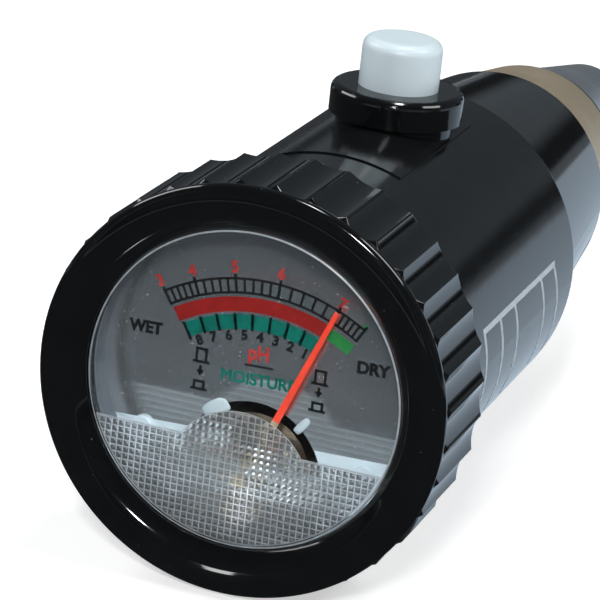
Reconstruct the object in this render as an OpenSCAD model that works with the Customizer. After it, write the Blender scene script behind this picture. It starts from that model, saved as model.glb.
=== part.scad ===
// Hand-held soil pH and moisture meter: a round dial under a fluted screw ring, a barrel with a push
// button, and a stepped conical probe of two metals. Millimetres.
// Pieces are drawn along the meter's own axis: Z runs from the dial's front to the probe's point, -Y is
// the button's side. lay() then lays the whole meter down with its axis along +Y and the button on top.

/* [Bezel ring] */
// Step from the flute crests down to the smooth front rim
rim_drop = 0.35; // [0.1:0.05:0.6]
// Width of the lip over the lens's edge
lip_w = 1.95; // [1.5:0.05:2.5]
// Depth of the opening's lip behind the front
lip_s = 1.7; // [1.2:0.1:1.9]
// Width of the slope from the front face down to the lip
slope_w = 1.55; // [1:0.05:2]
// Drop of the front face at its inner and outer edges
face_drop = 0.35; // [0.1:0.05:0.5]
// Rounding of the outer front edge
rim_round = 0.8; // [0.4:0.1:1]
// Where the smooth rim ends and the flutes begin
rim_s = 1.6; // [1.4:0.1:2]
// Wall from the thread's bore to the flute crests
ring_wall = 3.07; // [2.6:0.01:4]
// Number of flutes
flute_count = 36; // [24:2:48]
// Depth of a flute
flute_depth = 0.75; // [0.4:0.05:1]
// Turn of the flutes from the top
flute_turn = 3.4; // [0:0.1:4.5]
// Rear end of the ring
ring_end = 15.7; // [15:0.1:18]
// Chamfer on the ends of the flutes
flute_chamfer = 0.6; // [0.2:0.1:0.8]

/* [Lens] */
// Step from the barrel's radius in to the lens's flange
lens_step = 0.4; // [0.2:0.05:0.8]
// Thickness of the lens's flange
lens_t = 1.6; // [1.2:0.1:2]
// Front of the raised middle, behind the bezel's front
lens_front = 1.9; // [1.8:0.05:2.2]
// Front of the flange, under the ring's lip
lens_seat = 2.6; // [2.4:0.1:2.8]
// Thickness of the rubber seal behind the lens
seal_t = 1; // [0.6:0.1:1.4]
// Width of the rubber seal
seal_w = 1.2; // [0.8:0.1:1.6]

/* [Barrel] */
// Outer radius of the barrel behind its thread
barrel_r = 21.8; // [18:0.1:26]
// Step from the barrel up to the threaded front end
thread_proud = 0.4; // [0.3:0.05:0.8]
// Rear end of the threaded front end
thread_end = 14.6; // [12:0.1:15]
// Rear end of the barrel, from the bezel's front
barrel_end = 69.1; // [58:0.1:80]
// Gap from the saddle to the plain band behind it
band_gap = 0.6; // [0.3:0.1:2]
// Draft of the barrel from its thread to the plain band
barrel_draft = 0.1; // [0.05:0.05:0.3]
// Rounding of the rear edge
barrel_round = 1; // [0.5:0.1:1.5]
// Wall round the movement
front_wall = 1.6; // [1.2:0.05:2]
// Wall behind the movement
rear_wall = 2.5; // [2.1:0.05:3]
// Depth of the shoulder between the two bores
shoulder_s = 20.6; // [20:0.1:23]
// Height of the raised saddle under the button
saddle_h = 0.15; // [0.1:0.05:0.5]
// Half angle of the saddle round the barrel
saddle_half = 21; // [16:0.5:30]
// Length of the saddle in front of the button's centre
saddle_front = 21; // [12:0.5:24]
// Edge of the saddle behind the collar
saddle_edge = 0.1; // [0.05:0.05:2]

/* [Push button] */
// Distance of the button's centre from the barrel's rear end
button_back = 18.1; // [17:0.1:20]
// Width of the collar round its shank
collar_flange = 1.7; // [1.2:0.1:2.2]
// Width of the neck under the flange, round the shank, where the collar sits on the saddle
neck_w = 0.7; // [0.4:0.1:1]
// Gap between the flange's flat underside and the saddle's crown
flange_gap = 0.35; // [0.1:0.05:0.4]
// Height of the collar above the saddle
collar_h = 4.05; // [3:0.05:5]
// Rounding of the collar's rim
collar_round = 1; // [0.5:0.1:1.4]
// Wall of the collar's threaded shank inside the barrel
shank_wall = 0.9; // [0.7:0.1:1.2]
// Depth of the collar's shank below the top of the bore
shank_depth = 4.5; // [4:0.1:5]
// Radius of the white button
button_r = 5.1; // [4.6:0.1:5.3]
// Height of the button above the collar
button_h = 6.3; // [5:0.1:8]
// Rounding of the button's top edge
button_round = 1.4; // [0.5:0.1:1.6]
// Travel of the button
button_travel = 2.5; // [1.5:0.1:2.8]
// Depth of the step that keeps the button in, below the collar's top
keeper_depth = 4.6; // [4:0.1:5]
// Thickness of the button's keeper flange
keeper_t = 1.2; // [0.8:0.1:1.6]
// Wall of the hollow button
button_wall = 0.95; // [0.8:0.05:1.1]
// Thickness of the button's crown
crown_t = 2.3; // [1.5:0.1:3]
// Radius of the button's stem
stem_r = 1.6; // [1.3:0.1:1.8]
// Wire of the button's spring
spring_wire = 0.5; // [0.4:0.05:0.6]
// Turns of the button's spring
spring_turns = 6; // [5:1:8]

/* [Movement] */
// Gap from the yoke ring to the edge of the movement's frame
yoke_edge = 1.3; // [1:0.1:2]
// Angle of the pointer at rest, from the top
needle_rest = 22; // [18:0.5:26]
// Gap from the pointer's tip to the front bore when it stands upright
needle_room = 8.3; // [7:0.1:10]
// Width of the pointer at its root
needle_w = 1; // [0.6:0.1:1.2]
// Thickness of the pointer
needle_t = 0.35; // [0.25:0.05:0.4]
// Front face of the dial plate
dial_s = 8.4; // [8:0.1:8.5]
// Thickness of the dial plate
dial_t = 0.6; // [0.4:0.1:0.7]
// Gap from the yoke ring to the edge of the dial's cut-out
cutout_gap = 1.9; // [0.8:0.1:2.2]
// Radius of the magnet core
core_r = 3.6; // [3.2:0.1:3.8]
// Length of the magnet core
core_len = 7.2; // [6:0.1:8]
// Gap from the magnet core to the yoke ring
air_gap = 1.8; // [1.6:0.1:2]
// Wall of the yoke ring
yoke_wall = 1.4; // [1:0.1:1.5]
// Wire bundle of the moving coil, across and along the gap
coil_t = 1; // [0.8:0.05:1.1]
// Width of the moving coil
coil_w = 2.4; // [1.8:0.1:2.6]
// Radius of the pivots
pivot_r = 0.4; // [0.3:0.05:0.5]
// Thickness of the rear frame plate
frame_t = 2; // [1.6:0.1:2.4]
// Gap from the dial's cut-out to the bridge's pillars
pillar_gap = 1; // [0.8:0.1:1.4]
// Radius of the bridge's pillars
pillar_r = 1.2; // [1.1:0.05:1.3]
// Thickness of the front bridge
bridge_t = 0.8; // [0.6:0.1:0.9]
// Turns of each hairspring
hair_turns = 3; // [2:1:4]

/* [Circuit board] */
// Drop of the board's top face below the top of the bore
board_drop = 11.3; // [10.8:0.1:12]
// Thickness of the board
board_t = 1.6; // [1.2:0.1:2]
// Gap from the board's long edges to the bore
board_edge = 2.06; // [1.5:0.01:2.5]
// Gap from the board's rear end to the probe's sleeve
board_end_gap = 0.6; // [0.4:0.1:1]
// Width of the switch
switch_w = 8; // [7:0.1:8.4]
// Height of the switch's body
switch_h = 4.2; // [3.8:0.1:4.6]
// Radius of the trimmer
trimmer_r = 2.8; // [2.4:0.1:2.9]
// Height of the trimmer
trimmer_h = 3; // [2.5:0.1:3.5]
// Radius of a lead
lead_r = 0.55; // [0.4:0.05:0.7]
// Distance of the leads from the middle
lead_x = 4.9; // [4.8:0.1:5.2]

/* [Probe] */
// Step from the barrel down to the sleeve
sleeve_step = 2.2; // [1.8:0.1:2.2]
// Radius of the sleeve at its rear end
sleeve_rear_r = 16.5; // [16.2:0.1:17.5]
// Length of the sleeve behind the barrel
sleeve_len = 34.2; // [30:0.1:40]
// Wall of the sleeve
sleeve_wall = 2.2; // [1.8:0.1:2.4]
// Length of the sleeve's spigot inside the barrel
spigot_len = 7.5; // [6:0.1:7.5]
// Thickness of the sleeve's rear wall
bulkhead_t = 5.3; // [4:0.1:7]
// Thickness of the seal between sleeve and ring electrode
sleeve_seal_t = 0.6; // [0.4:0.1:1]
// Step from the sleeve down to the ring electrode
brass_step = 0.6; // [0.3:0.1:1]
// Taper of the ring electrode from end to end
brass_taper = 2.2; // [1.5:0.1:2.6]
// Length of the ring electrode
brass_len = 16.9; // [15:0.1:20]
// Step from the ring electrode down to the insulator
insulator_step = 0.7; // [0.4:0.1:0.9]
// Thickness of the insulator's flange
insulator_t = 2; // [1.5:0.1:3]
// Step from the insulator down to the tip electrode
tip_step = 0.5; // [0.3:0.1:1]
// Radius where the tip electrode turns into its point
tip_neck_r = 7; // [6:0.1:8]
// Length of the tip electrode
tip_len = 42.2; // [38:0.1:50]
// Length of the tip electrode's point
point_len = 11.6; // [8:0.1:16]
// Rounding of the point
tip_round = 0.8; // [0.5:0.1:1.5]
// Radius of the clamping stud
stud_r = 2.9; // [2.5:0.1:3.1]
// Distance of the ring electrode's screws from its bore
ring_screw_inset = 2.6; // [2.4:0.1:2.8]

/* [Clearances] */
// Running clearance of the screw ring on its thread
thread_clear = 0.08; // [0.05:0.01:0.1]
// Clearance round the lens
lens_clear = 0.15; // [0.1:0.05:0.3]
// Clearance of parts that drop into the barrel's bore
bore_clear = 0.1; // [0.05:0.05:0.2]
// Running clearance of pivots, button and screws that turn or slide
run_clear = 0.06; // [0.03:0.01:0.1]
// Clearance of a screw or pin in its hole
hole_clear = 0.1; // [0.05:0.05:0.2]
// Clearance round the button's keeper flange
keeper_clear = 0.15; // [0.1:0.05:0.2]
// Clearance of a spigot pushed into its bore
push_clear = 0.05; // [0.03:0.01:0.08]
// Gap between parts that pass each other
pass_gap = 0.3; // [0.25:0.05:0.4]

/* [Hidden] */
$fn = 72;
cut = 1;
arc_steps = 6;
button_s = barrel_end - button_back;
sleeve_end = barrel_end + sleeve_len;
brass_s = sleeve_end + sleeve_seal_t;
brass_end = brass_s + brass_len;
tip_s = brass_end + insulator_t;
length = tip_s + tip_len;
tip_neck_s = length - point_len;
mid_s = length / 2;
thread_r = barrel_r + thread_proud;
crest_r = thread_r + thread_clear + ring_wall;
bezel_r = crest_r - rim_drop;
lens_r = barrel_r - lens_step;
opening_r = lens_r - lip_w;
face_in_r = opening_r + slope_w;
front_bore_r = barrel_r - front_wall;
rear_bore_r = barrel_r - rear_wall;
sleeve_front_r = barrel_r - sleeve_step;
brass_front_r = sleeve_rear_r - brass_step;
brass_rear_r = brass_front_r - brass_taper;
insulator_r = brass_rear_r - insulator_step;
tip_front_r = insulator_r - tip_step;
axis_h = crest_r * cos(flute_turn);
seal_s = lens_seat + lens_t;
barrel_s = seal_s + seal_t;
ring_bore_r = thread_r + thread_clear;
rim_edge = 0.15;
rim_step = 0.3;
flute_pitch = 360 / flute_count;
flute_half = crest_r * sin(flute_pitch / 2);
flute_rise = crest_r * cos(flute_pitch / 2) - (crest_r - flute_depth);
flute_cut_r = (flute_half * flute_half + flute_rise * flute_rise) / (2 * flute_rise);
frame_r = front_bore_r - bore_clear;
frame_s = shoulder_s - frame_t;
spacer_wall = 0.6;
boss_h = 1.6;
yoke_in_r = core_r + air_gap;
yoke_r = yoke_in_r + yoke_wall;
pivot_drop = frame_r - yoke_r - yoke_edge;
needle_len = pivot_drop + front_bore_r - needle_room;
cutout_r = yoke_r + cutout_gap;
pillar_x = cutout_r + pillar_r + pillar_gap;
yoke_end = frame_s - boss_h;
core_end = yoke_end - pass_gap;
core_s = core_end - core_len;
yoke_step = 0.5;
yoke_s = core_s + yoke_step;
coil_in_x = core_r + pass_gap;
coil_x = coil_in_x + coil_t;
coil_bar = 0.6;
coil_s = core_s - pass_gap - coil_bar;
coil_end = core_end + pass_gap + coil_bar;
strut_w = 2.4;
needle_gap = 1.3;
needle_s = dial_s - needle_gap - needle_t;
hub_r = 1.3;
hub_extra = 0.15;
needle_tip_w = 0.6;
tail_len = 5.5;
tail_weight_r = 0.8;
bridge_s = barrel_s - pass_gap;
bridge_w = 4;
jewel_r = 0.9;
jewel_stand = 0.3;
jewel_nose = 0.4;
jewel_tail = 1;
hair_gap = 0.2;
front_jewel_s = bridge_s - jewel_stand;
front_jewel_end = needle_s - hub_extra - hair_gap;
rear_jewel_s = frame_s - jewel_nose;
rear_jewel_end = shoulder_s + jewel_tail;
pivot_depth = 0.9;
hair_t = 0.12;
hair_h = 0.3;
hair_in_r = 1.1;
hair_pitch = 0.6;
hair_steps = 16;
front_hair_s = dial_s - hair_h - hair_gap;
rear_hair_s = coil_end + hair_gap;
dial_post_r = 1.6;
dial_post_edge = 1.58;
dial_post_rise = 2.5;
dial_post_at_r = frame_r - dial_post_r - dial_post_edge;
dial_post_drop = pivot_drop - dial_post_rise;
dial_post_x = sqrt(dial_post_at_r * dial_post_at_r - dial_post_drop * dial_post_drop);
small_screw_r = 0.7;
small_head_r = 1.4;
small_head_t = 0.7;
small_screw_len = 5;
frame_screw_r = 0.9;
frame_head_r = 1.8;
frame_head_t = 1.4;
frame_screw_len = 6;
lug_r = 3;
lug_len = 7;
lug_inset = 2.4;
lug_at_r = rear_bore_r - lug_inset;
lug_turns = [-90, 0, 90];
terminal_r = 0.9;
terminal_len = 3.4;
collar_bore_r = button_r + run_clear;
keeper_w = 0.65;
keeper_r = button_r + keeper_w;
counterbore_r = keeper_r + keeper_clear;
shank_r = counterbore_r + shank_wall;
collar_r = shank_r + collar_flange;
neck_r = shank_r + neck_w;
saddle_rear = collar_r + saddle_edge;
keeper_gap = push_clear;
band_s = button_s + saddle_rear + band_gap;
band_r = barrel_r - barrel_draft;
saddle_r = barrel_r + saddle_h;
collar_top = saddle_r + collar_h;
flange_up = saddle_r + flange_gap;
keeper_up = collar_top - keeper_depth;
button_top = collar_top + button_h;
shank_low = rear_bore_r - shank_depth;
seat_t = 1;
stem_room = 0.5;
seat_hole_r = stem_r + stem_room;
seat_up = shank_low + seat_t;
cap_inner_r = button_r - button_wall;
crown_low = button_top - crown_t;
spring_r = cap_inner_r - pass_gap - spring_wire / 2;
spring_sides = 6;
spring_rings = 8;
nut_wall = 1.7;
nut_af = 2 * (shank_r + nut_wall);
nut_t = 2;
nut_top = sqrt(rear_bore_r * rear_bore_r - nut_af * nut_af / 4);
plunger_r = 1.5;
board_up = rear_bore_r - board_drop;
switch_top = board_up + switch_h;
plunger_grip = 0.9;
plunger_low = switch_top - plunger_grip;
plunger_top = switch_top + button_travel + pass_gap;
plunger_floor = plunger_low - button_travel - pass_gap;
pin_r = 0.4;
pin_len = 2.5;
pin_spread = 5.4;
spigot_s = barrel_end - spigot_len;
board_w = 2 * (sqrt(rear_bore_r * rear_bore_r - board_up * board_up) - board_edge);
board_len = 2 * (spigot_s - button_s - board_end_gap);
ledge_w = 4;
ledge_x = board_w / 2 - ledge_w;
ledge_t = 2.5;
board_low = board_up - board_t;
board_inset = 2;
board_screw_x = board_w / 2 - board_inset;
board_screw_y = board_len / 2 - board_inset;
board_screw_len = 3.4;
trimmer_gap = 4;
trimmer_x = switch_w / 2 + trimmer_gap;
rotor_r = 1.6;
rotor_h = 1.6;
rotor_stand = 0.4;
slot_w = 0.5;
slot_d = 0.6;
resistor_r = 1;
resistor_len = 6;
resistor_gaps = [3, 6];
resistor_pin_r = 0.3;
resistor_reach = 1.2;
bend_r = 1.5;
lead_up = board_up + bend_r;
lead_land_y = board_len / 2 - board_inset;
spigot_r = rear_bore_r - push_clear;
bulkhead_s = sleeve_end - bulkhead_t;
sleeve_slope = (sleeve_rear_r - sleeve_front_r) / (sleeve_end - barrel_end);
bulkhead_in_r = sleeve_r(bulkhead_s) - sleeve_wall;
ring_screw_r = 1.2;
tag_ring_w = 1.4;
tag_gap = 0.1;
ring_eye_r = ring_screw_r + hole_clear;
ring_screw_pcd_r = bulkhead_in_r - ring_eye_r - tag_ring_w - tag_gap;
brass_bore_r = ring_screw_pcd_r - ring_screw_inset;
sleeve_round = 0.6;
brass_chamfer = 0.4;
insulator_spigot_r = brass_bore_r - push_clear;
insulator_depth = 8.8;
tip_turn = 30;
stud_hole_r = stud_r + hole_clear;
stud_into_tip = 13;
nut_h = 5;
stud_nut_af = 10;
tag_t = 0.5;
stud_spare = 2.5;
stud_s = bulkhead_s - tag_t - nut_h - stud_spare;
tag_arm_w = 1.6;
crimp_r = 1;
crimp_len = 4;
ring_head_r = 2;
ring_head_t = 1.6;
ring_screw_grip = 5;
ring_screw_len = bulkhead_t + sleeve_seal_t + ring_screw_grip;
ring_screw_turns = [60, 180, 300];
tag_end = bulkhead_s - tag_t;

// Points along an arc in a profile
function arc(centre, r, from, to, steps = arc_steps) = [
    for (i = [0:steps]) let (a = from + (to - from) * i / steps) centre + r * [cos(a), sin(a)]
];

// Radius of the sleeve's outside at a distance from the bezel's front
function sleeve_r(s) = sleeve_front_r + sleeve_slope * (s - barrel_end);

// Lays the meter down, with its lowest flute crests at height zero
module lay() {
    translate([0, -mid_s, axis_h]) rotate([-90, 0, 0]) children();
}

// Turns pieces of the button and the board so that their Z is the height above the axis
module upright() {
    lay() translate([0, 0, button_s]) rotate([90, 0, 0]) children();
}

// Pieces round the pointer's pivot
module at_pivot() {
    lay() translate([0, pivot_drop, 0]) children();
}

// Moving pieces round the pivot, turned with the pointer
module at_needle() {
    at_pivot() rotate([0, 0, needle_rest]) children();
}

// A round bar from one station to another
module bar(r, from, to) {
    translate([0, 0, from]) cylinder(r = r, h = to - from);
}

// A tube from one station to another
module tube(r, bore, from, to) {
    difference() {
        bar(r, from, to);
        bar(bore, from - cut, to + cut);
    }
}

// A place beside the axis, given by its distance to the right and its height
module beside(x, up) {
    translate([x, -up, 0]) children();
}

// A place round the axis, given by its angle from the top
module round_axis(r, turn) {
    beside(r * sin(turn), r * cos(turn)) children();
}

// A slotted screw whose head's underside is at a station and whose shank runs on from it
module slotted_screw(r, len, head_r, head_t, at) {
    difference() {
        union() {
            bar(r, at, at + len);
            bar(head_r, at - head_t, at);
        }
        translate([-head_r - cut, -slot_w / 2, at - head_t - cut])
            cube([2 * (head_r + cut), slot_w, cut + head_t / 2]);
    }
}

// A flat spiral of constant pitch
module spiral(from) {
    n = hair_turns * hair_steps;
    function p(i, w) = let (a = 360 * i / hair_steps)
        (hair_in_r + hair_pitch * i / hair_steps + w) * [cos(a), sin(a)];
    translate([0, 0, from]) linear_extrude(hair_h)
        polygon(concat([for (i = [0:n]) p(i, 0)], [for (i = [n:-1:0]) p(i, hair_t)]));
}

// Fluted skirt of the screw ring, with both ends of the flutes chamfered
module fluted_skirt() {
    difference() {
        rotate_extrude() polygon([
            [opening_r, rim_s],
            [crest_r - flute_chamfer, rim_s],
            [crest_r, rim_s + flute_chamfer],
            [crest_r, ring_end - flute_chamfer],
            [crest_r - flute_chamfer, ring_end],
            [opening_r, ring_end]
        ]);
        for (i = [0:flute_count - 1]) round_axis(crest_r - flute_depth + flute_cut_r,
                                                 flute_turn + flute_pitch * (i + 0.5))
            bar(flute_cut_r, rim_s - cut, ring_end + cut);
    }
}

// Smooth front rim of the screw ring: a slightly crowned face and a slope down to the lens
module front_rim() {
    face_out_r = bezel_r - rim_round;
    face_mid = (face_in_r + face_out_r) / 2;
    face_half = (face_out_r - face_in_r) / 2;
    rotate_extrude() polygon(concat(
        [[opening_r, lens_seat + cut], [opening_r, lip_s]],
        [for (i = [0:arc_steps]) let (u = 2 * i / arc_steps - 1)
            [face_mid + u * face_half, face_drop * u * u]],
        arc([face_out_r, face_drop + rim_round], rim_round, -90, 0),
        [[bezel_r, rim_s - rim_edge], [bezel_r - rim_step, rim_s], [bezel_r - rim_step, lens_seat + cut]]
    ));
}

module bezel_ring() {
    color("#101216") lay() difference() {
        union() {
            front_rim();
            fluted_skirt();
        }
        bar(lens_r + lens_clear, lens_seat, ring_end);
        bar(ring_bore_r, barrel_s - pass_gap, ring_end + cut);
        bar(opening_r, -cut, ring_end);
    }
}

module lens() {
    color("#d8e2e6", 0.35) lay() union() {
        bar(lens_r, lens_seat, seal_s);
        bar(opening_r - lens_clear, lens_front, lens_seat + lens_t / 2);
    }
}

module lens_seal() {
    color("#202020") lay() tube(lens_r, lens_r - seal_w, seal_s, barrel_s);
}

module dial_spacer() {
    color("#b8bcbe") lay() tube(frame_r, frame_r - spacer_wall, barrel_s, dial_s);
}

// Both places of the dial's posts and screws
module dial_posts() {
    for (side = [-1, 1]) beside(side * dial_post_x, -dial_post_drop) children();
}

// Both places of the bridge's pillars and screws
module pillars() {
    for (side = [-1, 1]) translate([side * pillar_x, pivot_drop, 0]) children();
}

module dial_plate() {
    color("#9a9c9e") lay() difference() {
        bar(frame_r, dial_s, dial_s + dial_t);
        translate([0, pivot_drop, 0]) bar(cutout_r, dial_s - cut, dial_s + dial_t + cut);
        translate([-cutout_r, pivot_drop, dial_s - cut]) cube([2 * cutout_r, frame_r, dial_t + 2 * cut]);
        pillars() bar(pillar_r + pass_gap, dial_s - cut, dial_s + dial_t + cut);
        dial_posts() bar(small_screw_r + hole_clear, dial_s - cut, dial_s + dial_t + cut);
    }
}

module dial_screws() {
    color("#8d8f90") lay() dial_posts()
        slotted_screw(small_screw_r, small_screw_len, small_head_r, small_head_t, dial_s);
}

// Places of the screws that hold the movement's frame in the barrel
module frame_fixings() {
    for (turn = lug_turns) round_axis(lug_at_r, turn) children();
}

// Places of the two meter terminals
module terminals() {
    for (side = [-1, 1]) beside(side * lead_x, lead_up) children();
}

module meter_frame() {
    color("#1c1d20") lay() difference() {
        union() {
            bar(frame_r, frame_s, shoulder_s);
            dial_posts() bar(dial_post_r, dial_s + dial_t, frame_s + cut);
            pillars() bar(pillar_r, bridge_s + bridge_t, frame_s + cut);
            translate([0, pivot_drop, 0]) bar(yoke_r, yoke_end, frame_s + cut);
        }
        translate([0, pivot_drop, 0]) bar(yoke_in_r, yoke_end - cut, frame_s);
        translate([0, pivot_drop, 0]) bar(jewel_r + run_clear, frame_s - cut, shoulder_s + cut);
        dial_posts() bar(small_screw_r + run_clear, dial_s, dial_s + small_screw_len + cut);
        pillars() bar(small_screw_r + run_clear, bridge_s, bridge_s + small_screw_len + cut);
        frame_fixings() bar(frame_screw_r + hole_clear, frame_s - cut, shoulder_s + cut);
        terminals() bar(terminal_r, frame_s - cut, shoulder_s + cut);
    }
}

module frame_screws() {
    color("#8d8f90") lay() frame_fixings()
        slotted_screw(frame_screw_r, frame_screw_len, frame_head_r, frame_head_t, frame_s);
}

module meter_terminals() {
    color("#c9a24a") lay() terminals() bar(terminal_r, frame_s, shoulder_s + terminal_len);
}

module yoke_ring() {
    color("#3a332c") at_pivot() difference() {
        union() {
            tube(yoke_r, yoke_in_r, yoke_s, yoke_end);
            translate([-strut_w / 2, -yoke_in_r - yoke_wall / 2, yoke_s])
                cube([strut_w, 2 * yoke_in_r + yoke_wall, core_end - yoke_s]);
        }
        bar(core_r, yoke_s - cut, yoke_end + cut);
    }
}

module magnet_core() {
    color("#2c2622") at_pivot() bar(core_r, core_s, core_end);
}

module moving_coil() {
    color("#b06a35") at_needle() difference() {
        translate([-coil_x, -coil_w / 2, coil_s]) cube([2 * coil_x, coil_w, coil_end - coil_s]);
        translate([-coil_in_x, -coil_w / 2 - cut, coil_s + coil_bar])
            cube([2 * coil_in_x, coil_w + 2 * cut, coil_end - coil_s - 2 * coil_bar]);
    }
}

module pivot_pins() {
    color("#b9bcc0") at_needle() union() {
        bar(pivot_r, front_jewel_end - pivot_depth, coil_s);
        bar(pivot_r, coil_end, rear_jewel_s + pivot_depth);
    }
}

module pointer() {
    color("#f0452e") at_needle() difference() {
        union() {
            bar(hub_r, needle_s - hub_extra, needle_s + needle_t + hub_extra);
            translate([0, 0, needle_s]) linear_extrude(needle_t) polygon([
                [-needle_w / 2, 0],
                [-needle_tip_w / 2, -needle_len],
                [needle_tip_w / 2, -needle_len],
                [needle_w / 2, 0]
            ]);
            translate([-needle_w / 2, 0, needle_s]) cube([needle_w, tail_len, needle_t]);
            translate([0, tail_len, 0])
                bar(tail_weight_r, needle_s - hub_extra, needle_s + needle_t + hub_extra);
        }
        bar(pivot_r, needle_s - cut, needle_s + needle_t + cut);
    }
}

// A hairspring with the collet that grips the pivot
module hairspring(from) {
    color("#c08a4a") at_needle() union() {
        spiral(from);
        tube(hair_in_r + hair_t, pivot_r, from, from + hair_h);
    }
}

module front_hairspring() {
    hairspring(front_hair_s);
}

module rear_hairspring() {
    hairspring(rear_hair_s);
}

module front_bridge() {
    color("#a7a9ab") at_pivot() difference() {
        union() {
            translate([-pillar_x, -bridge_w / 2, bridge_s]) cube([2 * pillar_x, bridge_w, bridge_t]);
            for (side = [-1, 1]) translate([side * pillar_x, 0, 0])
                bar(bridge_w / 2, bridge_s, bridge_s + bridge_t);
        }
        bar(jewel_r + run_clear, bridge_s - cut, bridge_s + bridge_t + cut);
        for (side = [-1, 1]) translate([side * pillar_x, 0, 0])
            bar(small_screw_r + hole_clear, bridge_s - cut, bridge_s + bridge_t + cut);
    }
}

module bridge_screws() {
    low_head_t = 0.5;
    color("#8d8f90") lay() pillars()
        slotted_screw(small_screw_r, small_screw_len, small_head_r, low_head_t, bridge_s);
}

module front_jewel() {
    color("#c9a24a") at_pivot() difference() {
        bar(jewel_r, front_jewel_s, front_jewel_end);
        bar(pivot_r + run_clear, front_jewel_end - pivot_depth - run_clear, front_jewel_end + cut);
    }
}

module rear_jewel() {
    color("#c9a24a") at_pivot() difference() {
        bar(jewel_r, rear_jewel_s, rear_jewel_end);
        bar(pivot_r + run_clear, rear_jewel_s - cut, rear_jewel_s + pivot_depth + run_clear);
    }
}

// Raised saddle on top of the barrel, under the button's collar
module saddle() {
    rotate([0, 0, -90 - saddle_half])
        rotate_extrude(angle = 2 * saddle_half)
            translate([rear_bore_r + cut, button_s - saddle_front])
                square([saddle_r - rear_bore_r - cut, saddle_front + saddle_rear]);
}

// Places of the board's screws, in the upright frame
module board_fixings() {
    for (x = [-1, 1]) for (y = [-1, 1]) translate([x * board_screw_x, y * board_screw_y, 0]) children();
}

// Two ledges along the bore that carry the circuit board
module ledges() {
    intersection() {
        bar(rear_bore_r + cut, button_s - board_len / 2, button_s + board_len / 2);
        for (side = [-1, 1]) beside(side * (ledge_x + barrel_r) / 2, board_low - ledge_t / 2)
            translate([0, 0, button_s]) cube([barrel_r - ledge_x, ledge_t, board_len], center = true);
    }
}

module barrel() {
    color("#0e1014") difference() {
        union() {
            lay() difference() {
                union() {
                    bar(thread_r, barrel_s, thread_end);
                    rotate_extrude() polygon(concat(
                        [[0, thread_end - cut], [barrel_r, thread_end - cut]],
                        [[band_r, band_s]],
                        arc([band_r - barrel_round, barrel_end - barrel_round], barrel_round, 0, 90),
                        [[0, barrel_end]]
                    ));
                    saddle();
                }
                bar(front_bore_r, barrel_s - cut, shoulder_s);
                bar(rear_bore_r, shoulder_s - cut, barrel_end + cut);
            }
            lay() ledges();
            lay() intersection() {
                bar(rear_bore_r + cut, shoulder_s, shoulder_s + lug_len);
                frame_fixings() bar(lug_r, shoulder_s, shoulder_s + lug_len);
            }
        }
        upright() bar(shank_r + hole_clear, board_up, barrel_r + saddle_h + cut);
        upright() board_fixings() bar(small_screw_r + run_clear, board_up - board_screw_len - cut, board_up);
        lay() frame_fixings() bar(frame_screw_r + run_clear, shoulder_s - cut, shoulder_s + frame_screw_len);
    }
}

module button_collar() {
    color("#0e1014") difference() {
        upright() difference() {
            rotate_extrude() polygon(concat(
                [[0, shank_low], [shank_r, shank_low], [shank_r, rear_bore_r - cut]],
                [[neck_r, rear_bore_r - cut], [neck_r, flange_up], [collar_r, flange_up]],
                arc([collar_r - collar_round, collar_top - collar_round], collar_round, 0, 90),
                [[0, collar_top]]
            ));
            bar(collar_bore_r, keeper_up - cut, collar_top + cut);
            bar(counterbore_r, shank_low - cut, keeper_up);
        }
        lay() difference() {
            bar(saddle_r, button_s - 2 * collar_r, button_s + 2 * collar_r);
            translate([0, 0, button_s]) rotate([90, 0, 0]) bar(shank_r, 0, saddle_r + cut);
        }
    }
}

// A hexagonal nut, given across its flats
module hex_nut(af, bore, from, to) {
    difference() {
        translate([0, 0, from]) cylinder(d = af / cos(30), h = to - from, $fn = 6);
        bar(bore, from - cut, to + cut);
    }
}

module collar_nut() {
    color("#9b9da0") upright() rotate([0, 0, 30])
        hex_nut(nut_af, shank_r + run_clear, nut_top - nut_t, nut_top);
}

module button_cap() {
    color("#e4ecee") upright() difference() {
        rotate_extrude() polygon(concat(
            [[0, keeper_up - keeper_gap - keeper_t], [keeper_r, keeper_up - keeper_gap - keeper_t]],
            [[keeper_r, keeper_up - keeper_gap], [button_r, keeper_up - keeper_gap]],
            arc([button_r - button_round, button_top - button_round], button_round, 0, 90),
            [[0, button_top]]
        ));
        bar(cap_inner_r, keeper_up - keeper_t - cut, crown_low);
    }
}

module button_stem() {
    color("#c9cdd0") upright() bar(stem_r, plunger_top, crown_low);
}

// One unbroken wire wound round the stem, between the spring seat and the button's crown
module button_spring() {
    n = spring_turns * spring_rings;
    low = seat_up + spring_wire / 2;
    high = crown_low - spring_wire / 2;
    function centre(i) = let (a = 360 * i / spring_rings)
        [spring_r * cos(a), spring_r * sin(a), low + (high - low) * i / n];
    function ring(i) = let (a = 360 * i / spring_rings, c = centre(i)) [
        for (k = [0:spring_sides - 1]) let (b = 360 * k / spring_sides)
            c + spring_wire / 2 * [cos(b) * cos(a), cos(b) * sin(a), sin(b)]
    ];
    function at(i, k) = i * spring_sides + k % spring_sides;
    points = [for (i = [0:n]) each ring(i)];
    walls = [
        for (i = [0:n - 1]) for (k = [0:spring_sides - 1]) each [
            [at(i, k), at(i, k + 1), at(i + 1, k + 1)],
            [at(i, k), at(i + 1, k + 1), at(i + 1, k)]
        ]
    ];
    ends = [
        for (k = [1:spring_sides - 2]) each [
            [at(0, 0), at(0, k + 1), at(0, k)],
            [at(n, 0), at(n, k), at(n, k + 1)]
        ]
    ];
    gap = min([for (i = [0:n - spring_rings]) norm(centre(i + spring_rings) - centre(i))]) - spring_wire;
    echo(button_spring_least_gap = gap);
    color("#b9bcc0") upright() polyhedron(points, concat(walls, ends));
}

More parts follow.
